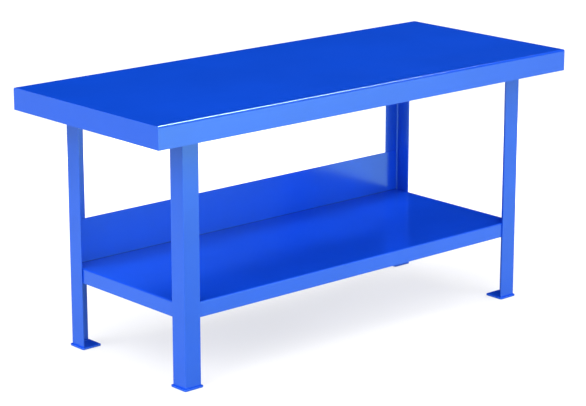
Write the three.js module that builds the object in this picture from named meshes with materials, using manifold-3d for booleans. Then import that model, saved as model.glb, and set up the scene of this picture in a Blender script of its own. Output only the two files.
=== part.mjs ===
// Welded steel assembly table: a bent sheet top on an angle-iron frame, with a lower shelf.
// Millimetres, +Z up. The origin is on the floor under the middle of the top, and the front is -Y.
import * as THREE from "three";
import { mergeVertices } from "three/addons/utils/BufferGeometryUtils.js";
import Module from "manifold-3d";

const wasm = await Module();
wasm.setup();

// Worktop: a sheet bent down along its front and rear edges, closed by a flat plate at each end.
const TOP_LENGTH = 1829;
const TOP_DEPTH = 762;
const TOP_HEIGHT = 900;
const TOP_EDGE = 75; // height of the turned-down edges
const TOP_BEND = 7; // outside radius of the bend
const SHEET = 2.75; // sheet thickness of the worktop and the shelf

// Frame: the four angles stand on a rectangle that is smaller than the worktop.
const FRAME_LENGTH = 1524; // over the outer faces of the legs
const FRAME_DEPTH = 610;
const LEG_SIZE = 63.5;
const LEG_WALL = 4.75;
const LEG_FILLET = 6;
const LEG_TOE = 2.5;
const FOOT_SIZE = 76.25;
const FOOT_WALL = 6.25;
const FOOT_CORNER = 7;

// Rails: angles as wide as the legs, under the worktop and nested inside the legs, folded from plate.
const RAIL_SIZE = 63.5;
const RAIL_WALL = 4.75;
const RAIL_FILLET = 2;
const RAIL_TOE = 1;

// Shelf: a tray nested inside the legs, its rear edge turned up into a back panel.
const SHELF_TOP = 284;
const SHELF_EDGE = 52;
const SHELF_BEND = 5; // outside radius
const PANEL_RISE = 152;
const END_LAP = 15; // how far an end edge's own bend laps into the flat of the shelf

// Stiffeners: hat sections across the worktop's and the shelf's underside.
const HAT_SHEET = 2;
const HAT_CROWN = 50;
const HAT_FLANGE = 22;
const HAT_DROP = 30;
const HAT_BEND = 4; // outside radius
const HAT_PLACE = 250; // either side of the middle

// Weld beads.
const BEAD = 5;
const EDGE_BEAD = 2.75; // along a sheet edge, no wider than the sheet
const BEAD_LENGTH = 42;
const BEAD_START = 14; // clear of the leg's inner corner
const PANEL_BEAD = 4;
const PANEL_BEAD_LENGTH = 110;

const CLEAR = 0.25; // root gap where one piece is cut to fit another
const ARC_STEPS = 3;

// Derived places.
const topUnder = TOP_HEIGHT - SHEET;
const legX = FRAME_LENGTH / 2;
const legY = FRAME_DEPTH / 2;
const innerX = legX - LEG_WALL; // inner faces of the legs' end flanges
const innerY = legY - LEG_WALL; // inner faces of the legs' front and rear flanges
const cornerCut = LEG_FILLET + CLEAR; // what a nested piece loses to the leg's inner fillet
const shelfUnder = SHELF_TOP - SHEET;
const shelfLow = SHELF_TOP - SHELF_EDGE;
const railLow = topUnder - RAIL_SIZE;

const paint = {
  worktop: new THREE.MeshStandardMaterial({ color: 0x1e55dc, roughness: 0.36, metalness: 0 }),
  frame: new THREE.MeshStandardMaterial({ color: 0x1f58de, roughness: 0.38, metalness: 0 }),
  shelf: new THREE.MeshStandardMaterial({ color: 0x1e55dc, roughness: 0.34, metalness: 0 }),
};

const table = new THREE.Group();
table.name = "assembly_table";

function addPiece(group, name, geometry, material) {
  const piece = new THREE.Mesh(geometry, material.clone());
  piece.name = name;
  group.add(piece);
  return piece;
}

function addGroup(parent, name) {
  const group = new THREE.Group();
  group.name = name;
  parent.add(group);
  return group;
}

// A prism of a flat outline, standing on z = 0.
function prism(shape, length) {
  return new THREE.ExtrudeGeometry(shape, {
    depth: length,
    bevelEnabled: false,
    curveSegments: ARC_STEPS,
  });
}

// A prism that lies along X: its outline's x and y become Y and Z.
function prismAlongX(shape, x0, x1) {
  const geometry = prism(shape, x1 - x0);
  const y = new THREE.Vector3(0, 1, 0);
  const z = new THREE.Vector3(0, 0, 1);
  const x = new THREE.Vector3(1, 0, 0);
  geometry.applyMatrix4(new THREE.Matrix4().makeBasis(y, z, x));
  geometry.translate(x0, 0, 0);
  return geometry;
}

// A prism that lies along Y: its outline's x and y become X and Z.
function prismAlongY(shape, y0, y1) {
  const geometry = prism(shape, y1 - y0);
  const x = new THREE.Vector3(1, 0, 0);
  const z = new THREE.Vector3(0, 0, 1);
  const back = new THREE.Vector3(0, -1, 0);
  geometry.applyMatrix4(new THREE.Matrix4().makeBasis(x, z, back));
  geometry.translate(0, y1, 0);
  return geometry;
}

// Draws a line through the corners in turn, each inner corner rounded to its radius.
function roundedLine(path, corners, radii) {
  for (let i = 0; i < corners.length; i += 1) {
    const corner = corners[i];
    if (i === 0 && path.curves.length === 0) {
      path.moveTo(corner.x, corner.y);
      continue;
    }
    if (!radii[i]) {
      path.lineTo(corner.x, corner.y);
      continue;
    }
    const before = corner.clone().sub(corners[i - 1]).normalize();
    const after = corners[i + 1].clone().sub(corner).normalize();
    const turnsLeft = before.cross(after) > 0;
    const side = new THREE.Vector2(-before.y, before.x).multiplyScalar(turnsLeft ? 1 : -1);
    const start = corner.clone().addScaledVector(before, -radii[i]);
    const centre = start.clone().addScaledVector(side, radii[i]);
    const from = Math.atan2(start.y - centre.y, start.x - centre.x);
    const to = from + (turnsLeft ? Math.PI / 2 : -Math.PI / 2);
    path.lineTo(start.x, start.y);
    path.absarc(centre.x, centre.y, radii[i], from, to, !turnsLeft);
  }
}

// Outline of a bent sheet. The points are the corners of one face; the sheet lies on their left.
function bentSheet(points, thickness, outsideRadius) {
  const face = points.map(([x, y]) => new THREE.Vector2(x, y));
  const last = face.length - 1;
  const other = [];
  const faceRadii = [];
  const otherRadii = [];
  for (let i = 0; i <= last; i += 1) {
    const before = face[i].clone().sub(face[Math.max(i - 1, 0)]).normalize();
    const after = face[Math.min(i + 1, last)].clone().sub(face[i]).normalize();
    const offset = new THREE.Vector2(-before.y, before.x).add(new THREE.Vector2(-after.y, after.x));
    other.push(face[i].clone().addScaledVector(offset, thickness));
    const bends = i > 0 && i < last;
    const turnsLeft = before.cross(after) > 0;
    const inside = outsideRadius - thickness;
    faceRadii.push(bends ? (turnsLeft ? outsideRadius : inside) : 0);
    otherRadii.push(bends ? (turnsLeft ? inside : outsideRadius) : 0);
  }
  const shape = new THREE.Shape();
  roundedLine(shape, face, faceRadii);
  roundedLine(shape, other.reverse(), otherRadii.reverse());
  shape.closePath();
  return shape;
}

// Outline of a rolled equal angle, heel at the origin, its flanges along +x and +y.
// The signs turn the flanges round.
function angleSection(size, wall, fillet, toe, signX = 1, signY = 1) {
  const corners = [
    [0, 0],
    [size, 0],
    [size, wall],
    [wall, wall],
    [wall, size],
    [0, size],
    [0, 0],
  ];
  const radii = [0, 0, toe, fillet, toe, 0, 0];
  const points = corners.map(([x, y]) => new THREE.Vector2(signX * x, signY * y));
  const shape = new THREE.Shape();
  roundedLine(shape, points, radii);
  return shape;
}

// Outline of a fillet bead in the corner at the origin, its legs along +x and +y, slightly full.
function beadSection(width, height) {
  const shape = new THREE.Shape();
  shape.moveTo(0, 0);
  shape.lineTo(width, 0);
  shape.quadraticCurveTo(width * 0.6, height * 0.6, 0, height);
  shape.closePath();
  return shape;
}

function rectangle(x0, y0, x1, y1) {
  const shape = new THREE.Shape();
  shape.moveTo(x0, y0);
  shape.lineTo(x1, y0);
  shape.lineTo(x1, y1);
  shape.lineTo(x0, y1);
  shape.closePath();
  return shape;
}

function toSolid(geometry) {
  const plain = geometry.clone();
  plain.deleteAttribute("normal");
  plain.deleteAttribute("uv");
  const merged = mergeVertices(plain, 1e-4);
  const mesh = new wasm.Mesh({
    numProp: 3,
    vertProperties: new Float32Array(merged.attributes.position.array),
    triVerts: new Uint32Array(merged.index.array),
  });
  return new wasm.Manifold(mesh);
}

function toGeometry(solid) {
  const mesh = solid.getMesh();
  const geometry = new THREE.BufferGeometry();
  geometry.setAttribute("position", new THREE.BufferAttribute(mesh.vertProperties, 3));
  geometry.setIndex(new THREE.BufferAttribute(mesh.triVerts, 1));
  geometry.computeVertexNormals();
  return geometry;
}

// Outline across the worktop, front at -x: the outer face of the sheet.
function topCorners() {
  const edge = TOP_DEPTH / 2;
  const low = TOP_HEIGHT - TOP_EDGE;
  return [
    [edge, low],
    [edge, TOP_HEIGHT],
    [-edge, TOP_HEIGHT],
    [-edge, low],
  ];
}

function buildWorktop() {
  const group = addGroup(table, "worktop");
  const end = TOP_LENGTH / 2;
  const sheet = bentSheet(topCorners(), SHEET, TOP_BEND);
  addPiece(group, "top_sheet", prismAlongX(sheet, -end + SHEET, end - SHEET), paint.worktop);

  const cap = new THREE.Shape();
  const corners = topCorners().map(([x, y]) => new THREE.Vector2(x, y));
  roundedLine(cap, corners, [0, TOP_BEND, TOP_BEND, 0]);
  cap.closePath();
  addPiece(group, "left_end_cap", prismAlongX(cap, -end, -end + SHEET), paint.worktop);
  addPiece(group, "right_end_cap", prismAlongX(cap, end - SHEET, end), paint.worktop);
}

function buildRails() {
  const group = addGroup(table, "top_rails");
  const longEnd = innerX - cornerCut;
  for (const [name, side] of [["front_rail", -1], ["rear_rail", 1]]) {
    const section = angleSection(RAIL_SIZE, RAIL_WALL, RAIL_FILLET, RAIL_TOE, -side, -1);
    const rail = addPiece(group, name, prismAlongX(section, -longEnd, longEnd), paint.frame);
    rail.position.set(0, side * innerY, topUnder);
  }

  // An end rail's upright flange reaches into both legs, and its level flange is cut back to fit
  // between the long rails.
  const endHalf = innerY - cornerCut;
  const levelHalf = innerY - RAIL_SIZE - CLEAR;
  for (const [name, side] of [["left_rail", -1], ["right_rail", 1]]) {
    const section = angleSection(RAIL_SIZE, RAIL_WALL, RAIL_FILLET, RAIL_TOE, -side, -1);
    const x0 = Math.min(-side * RAIL_WALL, -side * 2 * RAIL_SIZE);
    const x1 = Math.max(-side * RAIL_WALL, -side * 2 * RAIL_SIZE);
    const cut = rectangle(x0, -2 * RAIL_SIZE, x1, RAIL_SIZE);
    let rail = toSolid(prismAlongY(section, -endHalf, endHalf));
    rail = rail.subtract(toSolid(prismAlongY(cut, levelHalf, 2 * endHalf)));
    rail = rail.subtract(toSolid(prismAlongY(cut, -2 * endHalf, -levelHalf)));
    const piece = addPiece(group, name, toGeometry(rail), paint.frame);
    piece.position.set(side * innerX, 0, topUnder);
  }
}

// Outline of a hat section hung from y = 0.
function hatSection() {
  const half = HAT_CROWN / 2;
  const points = [
    [half + HAT_FLANGE, 0],
    [half, 0],
    [half, -HAT_DROP],
    [-half, -HAT_DROP],
    [-half, 0],
    [-half - HAT_FLANGE, 0],
  ];
  return bentSheet(points, HAT_SHEET, HAT_BEND);
}

function buildStiffeners() {
  const group = addGroup(table, "stiffeners");
  const topHalf = innerY - RAIL_SIZE - CLEAR;
  const shelfHalf = innerY - SHELF_BEND - CLEAR; // clear of both bends of the shelf
  for (const [side, x] of [["left", -HAT_PLACE], ["right", HAT_PLACE]]) {
    const topHat = prismAlongY(hatSection(), -topHalf, topHalf);
    addPiece(group, `top_stiffener_${side}`, topHat, paint.worktop).position.set(x, 0, topUnder);
    const shelfHat = prismAlongY(hatSection(), -shelfHalf, shelfHalf);
    addPiece(group, `shelf_stiffener_${side}`, shelfHat, paint.shelf).position.set(x, 0, shelfUnder);
  }
}

function buildShelf() {
  const group = addGroup(table, "shelf");
  const flatEnd = innerX - cornerCut;
  const panelFace = innerY - SHEET;
  const across = bentSheet(
    [
      [panelFace, SHELF_TOP + PANEL_RISE],
      [panelFace, SHELF_TOP],
      [-innerY, SHELF_TOP],
      [-innerY, shelfLow],
    ],
    SHEET,
    SHELF_BEND,
  );
  let tray = toSolid(prismAlongX(across, -flatEnd, flatEnd));

  const edgeHalf = innerY - cornerCut;
  const leftEdge = [
    [-innerX + END_LAP, SHELF_TOP],
    [-innerX, SHELF_TOP],
    [-innerX, shelfLow],
  ];
  const rightEdge = leftEdge.map(([x, z]) => [-x, z]).reverse();
  for (const corners of [leftEdge, rightEdge]) {
    const edge = bentSheet(corners, SHEET, SHELF_BEND);
    tray = tray.add(toSolid(prismAlongY(edge, -edgeHalf, edgeHalf)));
  }
  addPiece(group, "shelf_tray", toGeometry(tray), paint.shelf);
}

// A bead against a leg, in the leg's own frame: on the inside of the flange along x, or of the one along y.
function addBead(group, name, section, flange, z, flip) {
  const geometry = prism(section, BEAD_LENGTH);
  // The section's x stands out from the flange and its y runs up or down the flange.
  const out = flange === "x" ? new THREE.Vector3(0, 1, 0) : new THREE.Vector3(1, 0, 0);
  const along = flange === "x" ? new THREE.Vector3(1, 0, 0) : new THREE.Vector3(0, 1, 0);
  const up = new THREE.Vector3(0, 0, flip);
  const turned = out.clone().cross(up).dot(along) < 0;
  const run = turned ? along.clone().negate() : along;
  geometry.applyMatrix4(new THREE.Matrix4().makeBasis(out, up, run));
  const start = LEG_WALL + BEAD_START + (turned ? BEAD_LENGTH : 0);
  const place = out.clone().multiplyScalar(LEG_WALL).addScaledVector(along, start);
  const bead = addPiece(group, name, geometry, paint.frame);
  bead.position.set(place.x, place.y, z);
}

function buildCorner(name, signX, signY) {
  // Each corner is drawn as the front left one, heel at the origin, and mirrored into place.
  const group = addGroup(table, `${name}_corner`);
  group.position.set(signX * legX, signY * legY, 0);
  group.scale.set(-signX, -signY, 1);

  const legSection = angleSection(LEG_SIZE, LEG_WALL, LEG_FILLET, LEG_TOE);
  const leg = addPiece(group, `${name}_leg`, prism(legSection, topUnder - FOOT_WALL), paint.frame);
  leg.position.z = FOOT_WALL;

  const half = FOOT_SIZE / 2;
  const plate = new THREE.Shape();
  const corners = [[0, -half], [half, -half], [half, half], [-half, half], [-half, -half], [0, -half]];
  const radii = [0, FOOT_CORNER, FOOT_CORNER, FOOT_CORNER, FOOT_CORNER, 0];
  roundedLine(plate, corners.map(([x, y]) => new THREE.Vector2(x, y)), radii);
  const foot = addPiece(group, `${name}_foot_plate`, prism(plate, FOOT_WALL), paint.frame);
  foot.position.set(LEG_SIZE / 2, LEG_SIZE / 2, 0);

  const fillet = beadSection(BEAD, BEAD);
  const railBead = beadSection(RAIL_WALL, RAIL_WALL);
  const edgeBead = beadSection(EDGE_BEAD, 1.5 * EDGE_BEAD);
  addBead(group, `${name}_foot_weld_long`, fillet, "x", FOOT_WALL, 1);
  addBead(group, `${name}_foot_weld_end`, fillet, "y", FOOT_WALL, 1);
  addBead(group, `${name}_rail_weld_long`, railBead, "x", railLow, -1);
  addBead(group, `${name}_rail_weld_end`, railBead, "y", railLow, -1);
  addBead(group, `${name}_shelf_weld_end`, edgeBead, "y", shelfLow, -1);
  if (signY < 0) {
    addBead(group, `${name}_shelf_weld_long`, edgeBead, "x", shelfLow, -1);
    return;
  }
  // At a rear leg the back panel is welded from behind, along the toe of the leg's rear flange.
  const section = beadSection(PANEL_BEAD, PANEL_BEAD);
  const geometry = prism(section, PANEL_BEAD_LENGTH);
  const x = new THREE.Vector3(1, 0, 0);
  const back = new THREE.Vector3(0, -1, 0);
  const down = new THREE.Vector3(0, 0, -1);
  geometry.applyMatrix4(new THREE.Matrix4().makeBasis(x, back, down));
  const bead = addPiece(group, `${name}_panel_weld`, geometry, paint.frame);
  const middle = SHELF_TOP + PANEL_RISE / 2;
  bead.position.set(LEG_SIZE, LEG_WALL, middle + PANEL_BEAD_LENGTH / 2);
}

buildWorktop();
buildRails();
buildStiffeners();
buildShelf();
for (const [name, signX, signY] of [
  ["front_left", -1, -1],
  ["front_right", 1, -1],
  ["rear_left", -1, 1],
  ["rear_right", 1, 1],
]) {
  buildCorner(name, signX, signY);
}

export default table;
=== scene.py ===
"""Welded assembly table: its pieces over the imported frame, their paint and a studio stage."""
import math

import bmesh
import bpy
from bpy.props import FloatProperty, FloatVectorProperty, PointerProperty
from mathutils import Matrix, Vector


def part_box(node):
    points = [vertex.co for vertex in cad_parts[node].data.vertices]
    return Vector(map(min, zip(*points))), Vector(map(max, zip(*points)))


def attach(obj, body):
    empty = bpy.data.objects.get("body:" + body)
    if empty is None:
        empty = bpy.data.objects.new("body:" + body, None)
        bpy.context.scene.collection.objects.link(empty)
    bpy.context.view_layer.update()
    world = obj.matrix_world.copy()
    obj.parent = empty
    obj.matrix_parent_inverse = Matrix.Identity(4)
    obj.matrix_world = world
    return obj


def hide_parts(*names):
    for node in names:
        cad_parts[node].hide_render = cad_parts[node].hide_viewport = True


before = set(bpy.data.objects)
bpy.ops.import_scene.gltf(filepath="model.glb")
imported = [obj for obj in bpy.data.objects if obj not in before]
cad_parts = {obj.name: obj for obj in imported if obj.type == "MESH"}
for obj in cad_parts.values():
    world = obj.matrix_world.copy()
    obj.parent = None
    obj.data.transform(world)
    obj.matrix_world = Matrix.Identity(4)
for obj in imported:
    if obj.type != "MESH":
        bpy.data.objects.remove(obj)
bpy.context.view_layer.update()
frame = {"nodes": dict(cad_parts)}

bl_info = {
    "name": "Assembly Table",
    "version": (1, 0, 0),
    "blender": (4, 5, 0),
    "location": "3D View > Sidebar > Table",
    "description": "Builds the pieces, paint and stage of a welded assembly table",
    "category": "Object",
}

BODY = "root"
SIDES = (("left", -1), ("right", 1))
CORNERS = (
    ("front_left", -1, -1),
    ("front_right", 1, -1),
    ("rear_left", -1, 1),
    ("rear_right", 1, 1),
)

# How near two places count as one, and the angles at which two faces count as sharp and as one flat face.
NEAR = 1e-5
SHARP = math.radians(50)
FLAT = math.radians(1)
# Segments of a bend, of a fillet or toe, and of a softened edge.
BEND_STEPS = 10
FILLET_STEPS = 8
SOFT_STEPS = 3
# Cells of the shelf's flat sheet each way: its middle and a row of notches at either side.
SHELF_CELLS = 3
# Where the stitch welds lie along a stiffener and along an end cap, in metres from the middle.
HAT_STITCHES = (-0.18, 0.0, 0.18)
CAP_STITCHES = (-0.3, -0.1, 0.1, 0.3)
# The mesh layers that mark softened edges for the paint, and the shelf's inner bend for a painted shade
# line.
EDGE_LAYER = "edge"
PAINTED_SHADE_LAYER = "crease"
# The coat that each of the record's material slots gets here.
COATS = {"worktop_paint": "worktop_coat", "frame_paint": "frame_coat", "shelf_paint": "shelf_coat"}


def length(name, description, default):
    """A size in metres."""
    return FloatProperty(
        name=name, description=description, default=default, min=0.0, precision=5, unit="LENGTH"
    )


def colour(name, description, default):
    """A linear colour."""
    return FloatVectorProperty(
        name=name, description=description, default=default, size=3, min=0.0, max=1.0, subtype="COLOR"
    )


def place(name, description, default):
    """A point in metres."""
    return FloatVectorProperty(
        name=name, description=description, default=default, size=3, subtype="TRANSLATION", unit="LENGTH"
    )


def share(name, description, default, top=1.0):
    """A plain number from 0 up."""
    return FloatProperty(name=name, description=description, default=default, min=0.0, max=top)


class TableSizes(bpy.types.PropertyGroup):
    """Walls, bends and rounded edges. A piece's place and outer size come from the frame."""

    sheet: length("Sheet", "Thickness of the worktop and shelf sheet", 0.00275)
    top_bend: length("Worktop bend", "Outside radius of the worktop's long edges", 0.007)
    shelf_bend: length("Shelf bend", "Outside radius of the shelf's bends", 0.005)
    shelf_notch: length("Shelf notch", "Corner cut that clears the legs' inner fillet", 0.00625)
    angle_size: length("Angle", "Flange width of the legs and rails", 0.0635)
    angle_wall: length("Angle wall", "Wall of the legs and rails", 0.00475)
    leg_fillet: length("Leg fillet", "Inner fillet of a leg's rolled angle", 0.006)
    leg_toe: length("Leg toe", "Rounded inner toes of a leg's rolled angle", 0.0025)
    rail_fillet: length("Rail fillet", "Inner radius of a rail's folded angle", 0.002)
    rail_toe: length("Rail toe", "Rounded inner toes of a rail's folded angle", 0.001)
    foot_corner: length("Foot corner", "Corner radius of a foot plate", 0.007)
    hat_sheet: length("Hat sheet", "Thickness of a stiffener", 0.002)
    hat_bend: length("Hat bend", "Outside radius of a stiffener's bends", 0.004)
    hat_crown: length("Hat crown", "Inner width of a stiffener's crown", 0.05)
    sheet_round: length("Sheet edge", "Paint-rounded radius of a cut sheet edge", 0.0005)
    bar_round: length("Bar edge", "Rounded radius of the angles' and plates' edges", 0.0008)
    ripple: length("Weld ripple", "Spacing of the ripples along a weld bead", 0.0023)
    stitch: length("Stitch weld", "Length of a stitch weld", 0.04)
    stitch_leg: length("Stitch leg", "Leg length of a stitch weld", 0.003)


class TablePaint(bpy.types.PropertyGroup):
    """The one blue coat, as it lies on the worktop, the frame and the shelf."""

    worktop: colour("Worktop", "Paint of the worktop", (0.0042, 0.066, 0.62))
    frame: colour("Frame", "Paint of the legs, rails, foot plates and welds", (0.0042, 0.067, 0.63))
    shelf: colour("Shelf", "Paint of the shelf", (0.0042, 0.062, 0.625))
    sheen: colour("Gloss colour", "Cool tint of the coat's gloss, seen square on", (0.42, 1.0, 1.0))
    gloss: share("Roughness", "Roughness of the semi-gloss coat", 0.28)


class TableStage(bpy.types.PropertyGroup):
    """Camera, floor and lamps."""

    camera: place("Camera", "Where the camera stands", (-4.7813, -5.3505, 2.3576))
    aim: place("Aim", "What the camera looks at", (-0.29647, -0.29426, 0.53536))
    lens: FloatProperty(name="Lens", description="Focal length in millimetres", default=132.02, min=1.0)
    floor: colour("Floor", "Colour of the plain floor under the studio's light", (0.35, 0.35, 0.35))
    floor_glow: colour("Floor white", "What lifts the floor to white in the picture", (0.6, 0.6, 0.6))


def sizes():
    """The sizes set in the sidebar."""
    return bpy.context.scene.table_sizes


# Mesh tools.


def new_verts(made):
    """The vertices that an extrusion has made."""
    return [item for item in made["geom"] if isinstance(item, bmesh.types.BMVert)]


def strip(points, run):
    """An open line of points, extruded along run into one strip of faces."""
    bm = bmesh.new()
    verts = [bm.verts.new(point) for point in points]
    edges = [bm.edges.new(pair) for pair in zip(verts, verts[1:])]
    made = bmesh.ops.extrude_edge_only(bm, edges=edges)
    bmesh.ops.translate(bm, verts=new_verts(made), vec=run)
    return bm


def prism(points, run):
    """A flat outline, extruded along run into a closed solid."""
    bm = bmesh.new()
    face = bm.faces.new([bm.verts.new(point) for point in points])
    made = bmesh.ops.extrude_face_region(bm, geom=[face])
    bmesh.ops.translate(bm, verts=new_verts(made), vec=run)
    bmesh.ops.recalc_face_normals(bm, faces=bm.faces)
    return bm


def edges_on(bm, x=None, y=None, z=None):
    """The edges that have the given coordinates at both ends."""
    wanted = [(axis, value) for axis, value in enumerate((x, y, z)) if value is not None]
    return [
        edge
        for edge in bm.edges
        if all(abs(vert.co[axis] - value) < NEAR for vert in edge.verts for axis, value in wanted)
    ]


def round_edges(bm, edges, radius, steps):
    """Rounds the edges, and returns the faces of the round."""
    return bmesh.ops.bevel(
        bm,
        geom=edges,
        offset=radius,
        offset_type="OFFSET",
        affect="EDGES",
        segments=steps,
        profile=0.5,
        material=-1,
        clamp_overlap=True,
    )["faces"]


def soften(bm, radius, keep=lambda edge: False):
    """Rounds the sharp edges and marks them for the paint, apart from those that keep names."""
    layer = bm.loops.layers.float.get(EDGE_LAYER) or bm.loops.layers.float.new(EDGE_LAYER)
    sharp = [
        edge
        for edge in bm.edges
        if len(edge.link_faces) == 2 and edge.calc_face_angle() > SHARP and not keep(edge)
    ]
    for face in round_edges(bm, sharp, radius, SOFT_STEPS):
        for loop in face.loops:
            loop[layer] = 1.0


def thicken(bm, thickness, outward):
    """Gives a sheet its thickness on the far side of its face. A face at the point named by outward's
    first item has the normal of its second."""
    point, normal = outward
    nearest = min(bm.faces, key=lambda face: (face.calc_center_median() - Vector(point)).length)
    bm.normal_update()
    if nearest.normal.dot(Vector(normal)) < 0:
        bmesh.ops.reverse_faces(bm, faces=bm.faces)
    bm.normal_update()
    bmesh.ops.solidify(bm, geom=bm.faces[:], thickness=thickness)
    bmesh.ops.recalc_face_normals(bm, faces=bm.faces)


def add_piece(name, bm, material_slot, nodes=()):
    """Makes the finished mesh a piece of the table."""
    mesh = bpy.data.meshes.new(name)
    bm.to_mesh(mesh)
    bm.free()
    mesh.polygons.foreach_set("use_smooth", [True] * len(mesh.polygons))
    mesh.set_sharp_from_angle(angle=SHARP)
    mesh.materials.append(bpy.data.materials[COATS[material_slot]])
    piece = bpy.data.objects.new(name, mesh)
    bpy.context.scene.collection.objects.link(piece)
    flat = piece.modifiers.new("Flat faces", "WEIGHTED_NORMAL")
    flat.mode = "FACE_AREA"
    flat.weight = 100
    flat.keep_sharp = True
    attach(piece, BODY)
    if nodes:
        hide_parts(*nodes)
    return piece


def angle_bar(heel, level, upright, run):
    """A rolled angle from its heel, its two flanges along level and upright, extruded along run."""
    s = sizes()
    heel, level, upright, run = (Vector(item) for item in (heel, level, upright, run))

    def at(a, b):
        return heel + a * level + b * upright

    wide, wall = s.angle_size, s.angle_wall
    outline = [at(0, 0), at(wide, 0), at(wide, wall), at(wall, wall), at(wall, wide), at(0, wide)]
    bm = prism(outline, run)
    return bm, at


def along(bm, point, run):
    """The edges that lie on a line through point along run."""
    line = Vector(run).normalized()
    found = []
    for edge in bm.edges:
        offsets = [vert.co - point for vert in edge.verts]
        if all((offset - offset.dot(line) * line).length < NEAR for offset in offsets):
            found.append(edge)
    return found


def finish_angle(bm, at, run, fillet, toe):
    """Rounds the fillet and toes of an angle and softens its other edges."""
    s = sizes()
    round_edges(bm, along(bm, at(s.angle_wall, s.angle_wall), run), fillet, FILLET_STEPS)
    for tip in (at(s.angle_size, s.angle_wall), at(s.angle_wall, s.angle_size)):
        round_edges(bm, along(bm, tip, run), toe, FILLET_STEPS)
    soften(bm, s.bar_round)


# A fillet bead's outline, from its root corner, as shares of its two legs.
BEAD_OUTLINE = ((0.0, 0.0), (1.0, 0.0), (0.82, 0.34), (0.59, 0.59), (0.34, 0.82), (0.0, 1.0))
# Size of a bead over one ripple, and over its first and last rings.
RIPPLE_SIZES = (0.86, 1.0, 0.95)
END_SIZES = (0.4, 0.72, 0.9)
# How much a bead's size wanders, and how fast, in radians from ring to ring.
WANDER = 0.05
WANDER_PACE = 2.4


def add_bead(bm, low, high, grow):
    """A rippled weld bead that fills a box. grow tells, for each axis, which way the bead stands out from
    its root, and is 0 along its run."""
    run = grow.index(0)
    across = [axis for axis in range(3) if axis != run]
    root = Vector([low[axis] if grow[axis] >= 0 else high[axis] for axis in range(3)])
    span = high[run] - low[run]
    rings = max(1, round(span / sizes().ripple)) * len(RIPPLE_SIZES)
    step = Vector([span / rings if axis == run else 0.0 for axis in range(3)])

    def ring_size(index):
        from_end = min(index, rings - index)
        end = END_SIZES[from_end] if from_end < len(END_SIZES) else 1.0
        wander = 1.0 - WANDER * (0.5 + 0.5 * math.sin(WANDER_PACE * index))
        return end * wander * RIPPLE_SIZES[index % len(RIPPLE_SIZES)]

    verts = []
    for shares in BEAD_OUTLINE:
        point = root.copy()
        for axis, amount in zip(across, shares):
            point[axis] += grow[axis] * amount * ring_size(0) * (high[axis] - low[axis])
        verts.append(bm.verts.new(point))
    face = bm.faces.new(verts)
    for index in range(1, rings + 1):
        made = bmesh.ops.extrude_face_region(bm, geom=[face])
        ring = new_verts(made)
        face = next(item for item in made["geom"] if isinstance(item, bmesh.types.BMFace))
        bmesh.ops.translate(bm, verts=ring, vec=step)
        factor = ring_size(index) / ring_size(index - 1)
        centre = Matrix.Translation(-(root + index * step))
        bmesh.ops.scale(bm, verts=ring, vec=(factor, factor, factor), space=centre)


# Pieces.


class TABLE_OT_top_sheet(bpy.types.Operator):
    """Bends the worktop's sheet down along its front and rear edges"""

    bl_idname = "table.top_sheet"
    bl_label = "Worktop Sheet"

    def execute(self, context):
        s = sizes()
        low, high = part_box("top_sheet")
        corners = ((high.y, low.z), (high.y, high.z), (low.y, high.z), (low.y, low.z))
        run = (high.x - low.x, 0, 0)
        bm = strip([(low.x, y, z) for y, z in corners], run)
        bends = edges_on(bm, y=low.y, z=high.z) + edges_on(bm, y=high.y, z=high.z)
        round_edges(bm, bends, s.top_bend, BEND_STEPS)
        thicken(bm, s.sheet, ((0, 0, high.z), (0, 0, 1)))

        def on_seam(edge):
            return all(min(abs(v.co.x - low.x), abs(v.co.x - high.x)) < NEAR for v in edge.verts)

        soften(bm, s.sheet_round, on_seam)
        add_piece("worktop_sheet", bm, "worktop_paint", ["top_sheet"])
        return {"FINISHED"}


class TABLE_OT_end_caps(bpy.types.Operator):
    """Closes the worktop's ends with flat plates, their seams ground flush with the sheet"""

    bl_idname = "table.end_caps"
    bl_label = "End Caps"

    def execute(self, context):
        s = sizes()
        for side, sign in SIDES:
            node = f"{side}_end_cap"
            low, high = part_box(node)
            seam = high.x if sign < 0 else low.x
            corners = ((low.y, low.z), (high.y, low.z), (high.y, high.z), (low.y, high.z))
            bm = prism([(low.x, y, z) for y, z in corners], (high.x - low.x, 0, 0))
            bends = edges_on(bm, y=low.y, z=high.z) + edges_on(bm, y=high.y, z=high.z)
            round_edges(bm, bends, s.top_bend, BEND_STEPS)
            soften(bm, s.sheet_round, lambda edge: all(abs(v.co.x - seam) < NEAR for v in edge.verts))
            add_piece(f"worktop_{side}_end", bm, "worktop_paint", [node])
        return {"FINISHED"}


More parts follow.
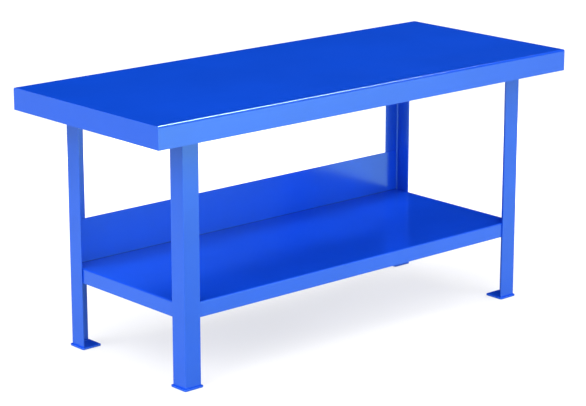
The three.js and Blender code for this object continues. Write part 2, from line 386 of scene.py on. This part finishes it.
class TABLE_OT_rails(bpy.types.Operator):
    """Lays the angle rails that carry the worktop between the legs"""

    bl_idname = "table.rails"
    bl_label = "Rails"

    def execute(self, context):
        s = sizes()
        for side, sign in (("front", -1), ("rear", 1)):
            low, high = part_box(f"{side}_rail")
            heel = (low.x, low.y if sign < 0 else high.y, high.z)
            run = (high.x - low.x, 0, 0)
            bm, at = angle_bar(heel, (0, -sign, 0), (0, 0, -1), run)
            finish_angle(bm, at, run, s.rail_fillet, s.rail_toe)
            add_piece(f"{side}_top_rail", bm, "frame_paint", [f"{side}_rail"])
        for side, sign in SIDES:
            self.end_rail(side, sign)
        return {"FINISHED"}

    def end_rail(self, side, sign):
        """An end rail: its level flange is cut back to fit between the long rails."""
        s = sizes()
        low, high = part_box(f"{side}_rail")
        level_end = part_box("top_stiffener_left")[1].y
        heel = (low.x if sign < 0 else high.x, -level_end, high.z)
        run = (0, 2 * level_end, 0)
        inward = Vector((-sign, 0, 0))
        bm, at = angle_bar(heel, inward, (0, 0, -1), run)
        whole = bm.verts[:] + bm.edges[:] + bm.faces[:]
        bmesh.ops.bisect_plane(bm, geom=whole, dist=NEAR, plane_co=at(s.angle_wall, 0), plane_no=inward)
        for y, reach in ((-level_end, low.y + level_end), (level_end, high.y - level_end)):
            ends = [
                face
                for face in bm.faces
                if abs(face.calc_center_median().y - y) < NEAR
                and (face.calc_center_median() - at(0, 0)).dot(inward) < s.angle_wall
            ]
            made = bmesh.ops.extrude_face_region(bm, geom=ends)
            bmesh.ops.translate(bm, verts=new_verts(made), vec=(0, reach, 0))
        bmesh.ops.dissolve_limit(bm, angle_limit=FLAT, verts=bm.verts, edges=bm.edges)
        bmesh.ops.recalc_face_normals(bm, faces=bm.faces)
        finish_angle(bm, at, run, s.rail_fillet, s.rail_toe)
        add_piece(f"{side}_top_rail", bm, "frame_paint", [f"{side}_rail"])


class TABLE_OT_stiffeners(bpy.types.Operator):
    """Folds the hat stiffeners under the worktop and under the shelf"""

    bl_idname = "table.stiffeners"
    bl_label = "Stiffeners"

    def execute(self, context):
        s = sizes()
        for part, slot in (("top", "worktop_paint"), ("shelf", "shelf_paint")):
            for side, _sign in SIDES:
                node = f"{part}_stiffener_{side}"
                low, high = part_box(node)
                middle = (low.x + high.x) / 2
                half = s.hat_crown / 2
                crown = low.z + s.hat_sheet
                line = [
                    (high.x, high.z),
                    (middle + half, high.z),
                    (middle + half, crown),
                    (middle - half, crown),
                    (middle - half, high.z),
                    (low.x, high.z),
                ]
                bm = strip([(x, low.y, z) for x, z in line], (0, high.y - low.y, 0))
                inside = s.hat_bend - s.hat_sheet
                for sign in (-1, 1):
                    bends = edges_on(bm, x=middle + sign * half, z=high.z)
                    round_edges(bm, bends, s.hat_bend, BEND_STEPS)
                    bends = edges_on(bm, x=middle + sign * half, z=crown)
                    round_edges(bm, bends, inside, BEND_STEPS)
                thicken(bm, s.hat_sheet, ((middle, 0, crown), (0, 0, 1)))
                soften(bm, s.sheet_round)
                add_piece(f"{part}_hat_{side}", bm, slot, [node])
        return {"FINISHED"}


class TABLE_OT_shelf(bpy.types.Operator):
    """Folds the shelf with its turned-down edges and its back panel"""

    bl_idname = "table.shelf"
    bl_label = "Shelf"

    def execute(self, context):
        s = sizes()
        low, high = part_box("shelf_tray")
        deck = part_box("shelf_stiffener_left")[1].z + s.sheet
        panel = high.y - s.sheet
        notch = s.shelf_notch
        bm = bmesh.new()
        bmesh.ops.create_grid(bm, x_segments=SHELF_CELLS, y_segments=SHELF_CELLS, size=1.0)
        # The grid's lines become the deck's outline and the lines of its corner notches.
        columns = (low.x, low.x + notch, high.x - notch, high.x)
        rows = (low.y, low.y + notch, high.y - notch, panel)
        for vert in bm.verts:
            column, row = (round((value + 1) * SHELF_CELLS / 2) for value in vert.co.xy)
            vert.co = (columns[column], rows[row], deck)
        bm.normal_update()
        waste = [
            face
            for face in bm.faces
            if not columns[1] < face.calc_center_median().x < columns[2]
            and not rows[1] < face.calc_center_median().y < rows[2]
        ]
        bmesh.ops.delete(bm, geom=waste, context="FACES")
        bmesh.ops.dissolve_limit(bm, angle_limit=FLAT, verts=bm.verts, edges=bm.edges)
        turned = (
            (edges_on(bm, y=low.y), (0, 0, low.z - deck)),
            (edges_on(bm, x=low.x), (0, 0, low.z - deck)),
            (edges_on(bm, x=high.x), (0, 0, low.z - deck)),
            (edges_on(bm, y=panel), (0, 0, high.z - deck)),
        )
        for edges, turn in turned:
            made = bmesh.ops.extrude_edge_only(bm, edges=edges)
            bmesh.ops.translate(bm, verts=new_verts(made), vec=turn)
        bmesh.ops.recalc_face_normals(bm, faces=bm.faces)
        inside = s.shelf_bend - s.sheet
        outer = edges_on(bm, y=low.y, z=deck)
        outer += edges_on(bm, x=low.x, z=deck) + edges_on(bm, x=high.x, z=deck)
        round_edges(bm, outer, s.shelf_bend, BEND_STEPS)
        round_edges(bm, edges_on(bm, y=panel, z=deck), inside, BEND_STEPS)
        thicken(bm, s.sheet, ((0, 0, deck), (0, 0, 1)))
        soften(bm, s.sheet_round)
        # Marks the inner bend at the back panel's foot, where the paint darkens to a painted shade line.
        crease = bm.loops.layers.float.new(PAINTED_SHADE_LAYER)
        for face in bm.faces:
            middle = face.calc_center_median()
            if 0 < panel - middle.y < inside and 0 < middle.z - deck < inside:
                for loop in face.loops:
                    loop[crease] = 1.0
        add_piece("shelf_with_back_panel", bm, "shelf_paint", ["shelf_tray"])
        return {"FINISHED"}


class TABLE_OT_legs(bpy.types.Operator):
    """Stands the four rolled angle legs, heels outward"""

    bl_idname = "table.legs"
    bl_label = "Legs"

    def execute(self, context):
        s = sizes()
        for corner, sign_x, sign_y in CORNERS:
            low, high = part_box(f"{corner}_leg")
            heel = (low.x if sign_x < 0 else high.x, low.y if sign_y < 0 else high.y, low.z)
            run = (0, 0, high.z - low.z)
            bm, at = angle_bar(heel, (-sign_x, 0, 0), (0, -sign_y, 0), run)
            finish_angle(bm, at, run, s.leg_fillet, s.leg_toe)
            add_piece(f"{corner}_angle_leg", bm, "frame_paint", [f"{corner}_leg"])
        return {"FINISHED"}


class TABLE_OT_foot_plates(bpy.types.Operator):
    """Puts a flat plate under each leg"""

    bl_idname = "table.foot_plates"
    bl_label = "Foot Plates"

    def execute(self, context):
        s = sizes()
        for corner, _sign_x, _sign_y in CORNERS:
            node = f"{corner}_foot_plate"
            low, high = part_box(node)
            bm = bmesh.new()
            bmesh.ops.create_cube(bm, size=1.0)
            bmesh.ops.scale(bm, verts=bm.verts, vec=high - low)
            bmesh.ops.translate(bm, verts=bm.verts, vec=(low + high) / 2)
            uprights = [edge for edge in bm.edges if abs(edge.verts[0].co.z - edge.verts[1].co.z) > NEAR]
            round_edges(bm, uprights, s.foot_corner, FILLET_STEPS)
            soften(bm, s.bar_round)
            add_piece(f"{corner}_foot", bm, "frame_paint", [node])
        return {"FINISHED"}


class TABLE_OT_leg_welds(bpy.types.Operator):
    """Welds each leg to its foot plate, its rails and the shelf"""

    bl_idname = "table.leg_welds"
    bl_label = "Leg Welds"

    def execute(self, context):
        for corner, sign_x, sign_y in CORNERS:
            grows = {
                "foot_weld_long": (0, -sign_y, 1),
                "foot_weld_end": (-sign_x, 0, 1),
                "rail_weld_long": (0, -sign_y, -1),
                "rail_weld_end": (-sign_x, 0, -1),
                "shelf_weld_end": (-sign_x, 0, -1),
            }
            if sign_y < 0:
                grows["shelf_weld_long"] = (0, -sign_y, -1)
            else:
                grows["panel_weld"] = (-sign_x, 1, 0)
            bm = bmesh.new()
            for weld, grow in grows.items():
                low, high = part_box(f"{corner}_{weld}")
                add_bead(bm, low, high, grow)
            bmesh.ops.recalc_face_normals(bm, faces=bm.faces)
            add_piece(f"{corner}_welds", bm, "frame_paint", [f"{corner}_{weld}" for weld in grows])
        return {"FINISHED"}


class TABLE_OT_stitch_welds(bpy.types.Operator):
    """Stitches the stiffeners to their sheets and the end caps to the worktop, on the hidden side"""

    bl_idname = "table.stitch_welds"
    bl_label = "Stitch Welds"

    def execute(self, context):
        s = sizes()
        leg = s.stitch_leg
        for part, slot in (("top", "worktop_paint"), ("shelf", "shelf_paint")):
            bm = bmesh.new()
            for side, _sign in SIDES:
                low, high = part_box(f"{part}_stiffener_{side}")
                for y in HAT_STITCHES:
                    for x0, x1, out in ((low.x - leg, low.x, -1), (high.x, high.x + leg, 1)):
                        start = Vector((x0, y - s.stitch / 2, high.z - s.hat_sheet))
                        end = Vector((x1, y + s.stitch / 2, high.z))
                        add_bead(bm, start, end, (out, 0, -1))
            bmesh.ops.recalc_face_normals(bm, faces=bm.faces)
            add_piece(f"{part}_hat_stitches", bm, slot)

        bm = bmesh.new()
        sheet_low, sheet_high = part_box("top_sheet")
        under = sheet_high.z - s.sheet
        for side, sign in SIDES:
            seam = sheet_low.x if sign < 0 else sheet_high.x
            inner = seam - sign * leg
            for y in CAP_STITCHES:
                low = Vector((min(seam, inner), y - s.stitch / 2, under - leg))
                high = Vector((max(seam, inner), y + s.stitch / 2, under))
                add_bead(bm, low, high, (-sign, 0, -1))
        bmesh.ops.recalc_face_normals(bm, faces=bm.faces)
        add_piece("end_cap_stitches", bm, "worktop_paint")
        return {"FINISHED"}


# Paint.

# Index of refraction, change of roughness and scale of the slow drift, for the coat in each material slot.
COAT_LOOKS = {
    "worktop_paint": (1.55, -0.15, 3.0),
    "frame_paint": (1.59, -0.02, 7.0),
    "shelf_paint": (1.65, -0.10, 3.5),
}
# Shares of a coat's colour: the ends of its drift, thin on a rounded edge, and darkened by painted shade in
# the shelf's inner bend.
DRIFT_SHADES = (0.95, 1.05)
EDGE_SHADE = 1.3
PAINTED_CREASE_SHADE = 0.5
# How strongly the rounded edges show, and how far the haze moves the roughness either way.
EDGE_AMOUNT = 0.6
HAZE = 0.01
# Strength of the spray grain's bump, and its height in metres.
GRAIN_STRENGTH = 0.35
GRAIN_HEIGHT = 0.00003
# Places of the two colours and of the result among the sockets of a colour mix.
MIX_FIRST, MIX_SECOND, MIX_RESULT = 6, 7, 2


def add_node(tree, kind, settings=None, values=None):
    """A new node with its own settings and the values of its sockets."""
    node = tree.nodes.new(kind)
    for key, value in (settings or {}).items():
        setattr(node, key, value)
    for key, value in (values or {}).items():
        node.inputs[key].default_value = value
    return node


def new_group(name, inputs, outputs):
    """An empty shader node group with number sockets."""
    tree = bpy.data.node_groups.new(name, "ShaderNodeTree")
    for socket, default in inputs.items():
        made = tree.interface.new_socket(name=socket, in_out="INPUT", socket_type="NodeSocketFloat")
        made.default_value = default
    for socket in outputs:
        tree.interface.new_socket(name=socket, in_out="OUTPUT", socket_type="NodeSocketFloat")
    return tree, tree.nodes.new("NodeGroupInput"), tree.nodes.new("NodeGroupOutput")


def spray_grain_group():
    """Height of the sprayed coat: a soft peel with a finer grain over it."""
    tree, start, end = new_group(
        "Spray grain", {"Peel Scale": 330.0, "Grain Scale": 1500.0, "Grain Share": 0.25}, ["Height"]
    )
    place_at = add_node(tree, "ShaderNodeTexCoord")
    peel = add_node(tree, "ShaderNodeTexNoise", values={"Detail": 1.0, "Roughness": 0.4})
    grain = add_node(tree, "ShaderNodeTexNoise", values={"Detail": 2.0, "Roughness": 0.6})
    both = add_node(tree, "ShaderNodeMath", {"operation": "MULTIPLY_ADD"})
    link = tree.links.new
    for noise, scale in ((peel, "Peel Scale"), (grain, "Grain Scale")):
        link(place_at.outputs["Object"], noise.inputs["Vector"])
        link(start.outputs[scale], noise.inputs["Scale"])
    link(grain.outputs[0], both.inputs[0])
    link(start.outputs["Grain Share"], both.inputs[1])
    link(peel.outputs[0], both.inputs[2])
    link(both.outputs[0], end.inputs["Height"])
    return tree


def coat_drift_group():
    """Slow changes of the coat's depth and gloss over a large piece, with a faint handling haze."""
    tree, start, end = new_group("Coat drift", {"Scale": 4.0, "Haze Scale": 9.0}, ["Depth", "Haze"])
    place_at = add_node(tree, "ShaderNodeTexCoord")
    slow = add_node(tree, "ShaderNodeTexNoise", values={"Detail": 3.0, "Roughness": 0.5})
    haze = add_node(tree, "ShaderNodeTexNoise", values={"Detail": 1.0, "Roughness": 0.5})
    link = tree.links.new
    link(start.outputs["Scale"], slow.inputs["Scale"])
    link(start.outputs["Haze Scale"], haze.inputs["Scale"])
    for noise, socket in ((slow, "Depth"), (haze, "Haze")):
        link(place_at.outputs["Object"], noise.inputs["Vector"])
        stretch = add_node(
            tree,
            "ShaderNodeMapRange",
            {"interpolation_type": "SMOOTHSTEP"},
            {"From Min": 0.2, "From Max": 0.8},
        )
        link(noise.outputs[0], stretch.inputs["Value"])
        link(stretch.outputs["Result"], end.inputs[socket])
    return tree


def edge_group():
    """Mask of the rounded edges, where a sprayed coat draws thin, broken up along their length."""
    tree, start, end = new_group("Thin edges", {"Break Scale": 60.0, "Amount": 0.5}, ["Mask"])
    place_at = add_node(tree, "ShaderNodeTexCoord")
    edge = add_node(tree, "ShaderNodeAttribute", {"attribute_name": EDGE_LAYER})
    noise = add_node(tree, "ShaderNodeTexNoise", values={"Detail": 3.0})
    broken = add_node(tree, "ShaderNodeMath", {"operation": "MULTIPLY"})
    amount = add_node(tree, "ShaderNodeMath", {"operation": "MULTIPLY", "use_clamp": True})
    link = tree.links.new
    link(place_at.outputs["Object"], noise.inputs["Vector"])
    link(start.outputs["Break Scale"], noise.inputs["Scale"])
    link(edge.outputs["Fac"], broken.inputs[0])
    link(noise.outputs[0], broken.inputs[1])
    link(broken.outputs[0], amount.inputs[0])
    link(start.outputs["Amount"], amount.inputs[1])
    link(amount.outputs[0], end.inputs["Mask"])
    return tree


def use_group(tree, group, values=None):
    """A node that uses a shared group, with its own values."""
    return add_node(tree, "ShaderNodeGroup", {"node_tree": group}, values)


def scaled(rgb, factor):
    """A colour made lighter or darker, with its alpha."""
    return tuple(min(1.0, part * factor) for part in rgb) + (1.0,)


def colour_mix(tree, first, second):
    """A colour mix with one or both colours set here. None leaves a colour to be linked."""
    mix = add_node(tree, "ShaderNodeMix", {"data_type": "RGBA"})
    for socket, value in ((MIX_FIRST, first), (MIX_SECOND, second)):
        if value is not None:
            mix.inputs[socket].default_value = value
    return mix


def make_paint(name, rgb, gloss_tint, ior, roughness, groups, drift_scale):
    """A semi-gloss sprayed coat on steel."""
    material = bpy.data.materials.new(name)
    material.use_nodes = True
    tree = material.node_tree
    shader = tree.nodes["Principled BSDF"]
    shader.inputs["IOR"].default_value = ior
    shader.inputs["Specular IOR Level"].default_value = 1.0
    shader.inputs["Specular Tint"].default_value = tuple(gloss_tint) + (1.0,)
    link = tree.links.new

    drift = use_group(tree, groups["drift"], {"Scale": drift_scale})
    edges = use_group(tree, groups["edges"], {"Amount": EDGE_AMOUNT})
    grain = use_group(tree, groups["grain"])

    depth = colour_mix(tree, *(scaled(rgb, shade) for shade in DRIFT_SHADES))
    link(drift.outputs["Depth"], depth.inputs[0])
    thin = colour_mix(tree, None, scaled(rgb, EDGE_SHADE))
    link(edges.outputs["Mask"], thin.inputs[0])
    link(depth.outputs[MIX_RESULT], thin.inputs[MIX_FIRST])
    # Painted shade: darkens the coat along the shelf's inner bend, as shade falls at the panel's foot.
    painted_shade = colour_mix(tree, None, scaled(rgb, PAINTED_CREASE_SHADE))
    crease = add_node(tree, "ShaderNodeAttribute", {"attribute_name": PAINTED_SHADE_LAYER})
    link(crease.outputs["Fac"], painted_shade.inputs[0])
    link(thin.outputs[MIX_RESULT], painted_shade.inputs[MIX_FIRST])
    link(painted_shade.outputs[MIX_RESULT], shader.inputs["Base Color"])

    gloss = add_node(
        tree, "ShaderNodeMapRange", values={"To Min": roughness - HAZE, "To Max": roughness + HAZE}
    )
    link(drift.outputs["Haze"], gloss.inputs["Value"])
    link(gloss.outputs["Result"], shader.inputs["Roughness"])

    bump = add_node(
        tree, "ShaderNodeBump", values={"Strength": GRAIN_STRENGTH, "Distance": GRAIN_HEIGHT}
    )
    link(grain.outputs["Height"], bump.inputs["Height"])
    link(bump.outputs["Normal"], shader.inputs["Normal"])


class TABLE_OT_paint(bpy.types.Operator):
    """Mixes the blue coat for the worktop, the frame and the shelf"""

    bl_idname = "table.paint"
    bl_label = "Paint"

    def execute(self, context):
        paint = context.scene.table_paint
        groups = {"grain": spray_grain_group(), "drift": coat_drift_group(), "edges": edge_group()}
        colours = {"worktop_paint": paint.worktop, "frame_paint": paint.frame, "shelf_paint": paint.shelf}
        for slot, (ior, change, drift) in COAT_LOOKS.items():
            make_paint(COATS[slot], colours[slot], paint.sheen, ior, paint.gloss + change, groups, drift)
        return {"FINISHED"}


# Stage.

# Name, place, aim, width, height and power in watts of each upright softbox that the paint mirrors.
SOFTBOXES = (
    ("front_mid", (0.7, -2.6, 0.9), (0.5, 0.0, 0.7), 3.4, 1.2, 6.5),
    ("left_mid", (-2.9, -0.2, 0.9), (0.0, -0.1, 0.7), 2.4, 1.2, 13.0),
)
# The same for the softbox that fades from left to right along the front, and its strength at its two ends.
FADING_BOX = ("front_low", (0.7, -2.3, 0.45), (0.7, 0.0, 0.5), 5.4, 0.8, 12.0)
FADE = (2.3, 0.35)
# The same for the fill lamps, which lift the shaded sides and aren't mirrored.
FILL_LAMPS = (
    ("right_low", (3.2, 0.2, 0.65), (0.0, 0.0, 0.5), 2.4, 0.8, 95.0),
    ("rear_low", (0.4, 2.8, 0.5), (0.0, 0.0, 0.4), 3.0, 0.8, 50.0),
)
# The same for the fill lamp that lights only the shelf, from behind, between its back panel and the worktop.
SHELF_LAMP = ("rear_high", (-0.3, 2.25, 3.05), (0.0, 0.1, 0.284), 2.6, 1.2, 62.0)
# The same for a far card, high on the right, that only the worktop sheet's gloss mirrors: the bright line
# along its front bend.
LINE_CARD = ("bend_line", (17.5, 11.4, 22.0), (0.0, -0.38, 0.9), 6.8, 8.0, 5100.0)
# Direction, strength and narrowness of each broad light of the studio: front, left and overhead.
BROAD_LIGHTS = (
    ((0.0, -0.766, 0.643), 3.0, 8.0),
    ((-0.766, 0.0, 0.643), 4.9, 8.0),
    ((0.0, 0.0, 1.0), 3.2, 8.0),
)
# Share of the floor's white that the paint mirrors.
MIRRORED_WHITE = 0.35
# Half the floor's width and its depth below the feet, in metres, and its roughness.
FLOOR_REACH = 40.0
FLOOR_DROP = 0.0005
FLOOR_ROUGHNESS = 0.9
# Width of the camera's sensor in millimetres, and how far it sees in metres.
SENSOR = 36.0
VIEW_END = 200.0
WHITE = (1.0, 1.0, 1.0, 1.0)


def any_ray(tree, *kinds):
    """1 for a ray of any of the named kinds, and 0 for the others."""
    path = add_node(tree, "ShaderNodeLightPath")
    found = path.outputs[kinds[0]]
    for kind in kinds[1:]:
        either = add_node(tree, "ShaderNodeMath", {"operation": "MAXIMUM"})
        tree.links.new(found, either.inputs[0])
        tree.links.new(path.outputs[kind], either.inputs[1])
        found = either.outputs[0]
    return found


def aim_at(obj, location, target):
    """Puts an object in the scene, its own view turned towards a point."""
    location, target = Vector(location), Vector(target)
    obj.location = location
    obj.rotation_euler = (target - location).to_track_quat("-Z", "Y").to_euler()
    bpy.context.scene.collection.objects.link(obj)


def add_softbox(name, location, target, width, height, power):
    """A flat lamp that the camera doesn't see."""
    lamp = bpy.data.lights.new(name, "AREA")
    lamp.shape = "RECTANGLE"
    lamp.size, lamp.size_y, lamp.energy = width, height, power
    softbox = bpy.data.objects.new(name, lamp)
    softbox.visible_camera = False
    aim_at(softbox, location, target)
    return softbox


def fade_across(softbox, left, right):
    """Grades a softbox's strength along its width."""
    lamp = softbox.data
    lamp.use_nodes = True
    tree = lamp.node_tree
    across = add_node(tree, "ShaderNodeSeparateXYZ")
    tree.links.new(add_node(tree, "ShaderNodeNewGeometry").outputs["Parametric"], across.inputs[0])
    fade = add_node(tree, "ShaderNodeMapRange", values={"To Min": left, "To Max": right})
    tree.links.new(across.outputs["X"], fade.inputs["Value"])
    tree.links.new(fade.outputs["Result"], tree.nodes["Emission"].inputs["Strength"])


def light_only(lamp, piece):
    """Keeps a lamp's light to one piece."""
    lit = bpy.data.collections.new(lamp.name)
    lit.objects.link(bpy.data.objects[piece])
    lamp.light_linking.receiver_collection = lit


class TABLE_OT_stage(bpy.types.Operator):
    """Sets the floor, the soft lamps, the white surroundings and the camera"""

    bl_idname = "table.stage"
    bl_label = "Stage"

    def execute(self, context):
        scene = context.scene
        stage = scene.table_stage
        self.floor(stage)
        for softbox in SOFTBOXES:
            add_softbox(*softbox)
        for lamp in FILL_LAMPS:
            add_softbox(*lamp).visible_glossy = False
        lamp = add_softbox(*SHELF_LAMP)
        lamp.visible_glossy = False
        light_only(lamp, "shelf_with_back_panel")
        fade_across(add_softbox(*FADING_BOX), *FADE)
        card = add_softbox(*LINE_CARD)
        card.visible_diffuse = False
        light_only(card, "worktop_sheet")
        self.surroundings(scene)
        camera = bpy.data.cameras.new("photo_view")
        camera.sensor_width = SENSOR
        camera.sensor_fit = "HORIZONTAL"
        camera.lens = stage.lens
        camera.clip_end = VIEW_END
        view = bpy.data.objects.new("photo_view", camera)
        aim_at(view, stage.camera, stage.aim)
        scene.camera = view
        scene.view_settings.view_transform = "Standard"
        return {"FINISHED"}

    def floor(self, stage):
        """A plain floor that keeps the shadow and is white to the camera and in reflections."""
        bm = bmesh.new()
        bmesh.ops.create_grid(bm, x_segments=1, y_segments=1, size=FLOOR_REACH)
        bmesh.ops.translate(bm, verts=bm.verts, vec=(0, 0, -FLOOR_DROP))
        mesh = bpy.data.meshes.new("floor")
        bm.to_mesh(mesh)
        bm.free()
        floor = bpy.data.objects.new("floor", mesh)
        bpy.context.scene.collection.objects.link(floor)
        material = bpy.data.materials.new("floor_white")
        material.use_nodes = True
        mesh.materials.append(material)
        tree = material.node_tree
        link = tree.links.new
        shader = tree.nodes["Principled BSDF"]
        shader.inputs["Base Color"].default_value = tuple(stage.floor) + (1.0,)
        shader.inputs["Roughness"].default_value = FLOOR_ROUGHNESS
        shader.inputs["Specular IOR Level"].default_value = 0.0
        shader.inputs["Emission Color"].default_value = tuple(stage.floor_glow) + (1.0,)
        mirrored = add_node(tree, "ShaderNodeMath", {"operation": "MULTIPLY"}, {1: MIRRORED_WHITE})
        link(any_ray(tree, "Is Glossy Ray", "Is Transmission Ray"), mirrored.inputs[0])
        seen = add_node(tree, "ShaderNodeMath", {"operation": "MAXIMUM"})
        link(any_ray(tree, "Is Camera Ray"), seen.inputs[0])
        link(mirrored.outputs[0], seen.inputs[1])
        link(seen.outputs[0], shader.inputs["Emission Strength"])

    def surroundings(self, scene):
        """White to the camera. The paint mirrors only the broad lights, in an otherwise dark room."""
        world = bpy.data.worlds.new("studio")
        scene.world = world
        world.use_nodes = True
        tree = world.node_tree
        link = tree.links.new
        direction = add_node(tree, "ShaderNodeTexCoord").outputs["Generated"]
        total = None
        for towards, strength, power in BROAD_LIGHTS:
            facing = add_node(tree, "ShaderNodeVectorMath", {"operation": "DOT_PRODUCT"}, {1: towards})
            link(direction, facing.inputs[0])
            in_front = add_node(tree, "ShaderNodeMath", {"operation": "MAXIMUM"}, {1: 0.0})
            link(facing.outputs["Value"], in_front.inputs[0])
            spread = add_node(tree, "ShaderNodeMath", {"operation": "POWER"}, {1: power})
            link(in_front.outputs[0], spread.inputs[0])
            added = add_node(tree, "ShaderNodeMath", {"operation": "MULTIPLY_ADD"}, {1: strength, 2: 0.0})
            link(spread.outputs[0], added.inputs[0])
            if total is not None:
                link(total, added.inputs[2])
            total = added.outputs[0]
        room = tree.nodes["Background"]
        room.inputs["Color"].default_value = WHITE
        link(total, room.inputs["Strength"])
        white = add_node(tree, "ShaderNodeBackground", values={"Color": WHITE})
        mix = add_node(tree, "ShaderNodeMixShader")
        link(any_ray(tree, "Is Camera Ray", "Is Transmission Ray"), mix.inputs[0])
        link(room.outputs[0], mix.inputs[1])
        link(white.outputs[0], mix.inputs[2])
        link(mix.outputs[0], tree.nodes["World Output"].inputs["Surface"])


OPERATORS = (
    TABLE_OT_paint,
    TABLE_OT_top_sheet,
    TABLE_OT_end_caps,
    TABLE_OT_rails,
    TABLE_OT_stiffeners,
    TABLE_OT_shelf,
    TABLE_OT_legs,
    TABLE_OT_foot_plates,
    TABLE_OT_leg_welds,
    TABLE_OT_stitch_welds,
    TABLE_OT_stage,
)


class TABLE_PT_pieces(bpy.types.Panel):
    """Lists the operators that build the table"""

    bl_idname = "TABLE_PT_pieces"
    bl_label = "Assembly Table"
    bl_space_type = "VIEW_3D"
    bl_region_type = "UI"
    bl_category = "Table"

    def draw(self, context):
        for operator in OPERATORS:
            self.layout.operator(operator.bl_idname)


CLASSES = (TableSizes, TablePaint, TableStage) + OPERATORS + (TABLE_PT_pieces,)


def register():
    for item in CLASSES:
        bpy.utils.register_class(item)
    bpy.types.Scene.table_sizes = PointerProperty(type=TableSizes)
    bpy.types.Scene.table_paint = PointerProperty(type=TablePaint)
    bpy.types.Scene.table_stage = PointerProperty(type=TableStage)


def unregister():
    del bpy.types.Scene.table_stage
    del bpy.types.Scene.table_paint
    del bpy.types.Scene.table_sizes
    for item in reversed(CLASSES):
        bpy.utils.unregister_class(item)


def main():
    register()
    for operator in OPERATORS:
        group, name = operator.bl_idname.split(".")
        getattr(getattr(bpy.ops, group), name)()


if __name__ == "__main__":
    main()
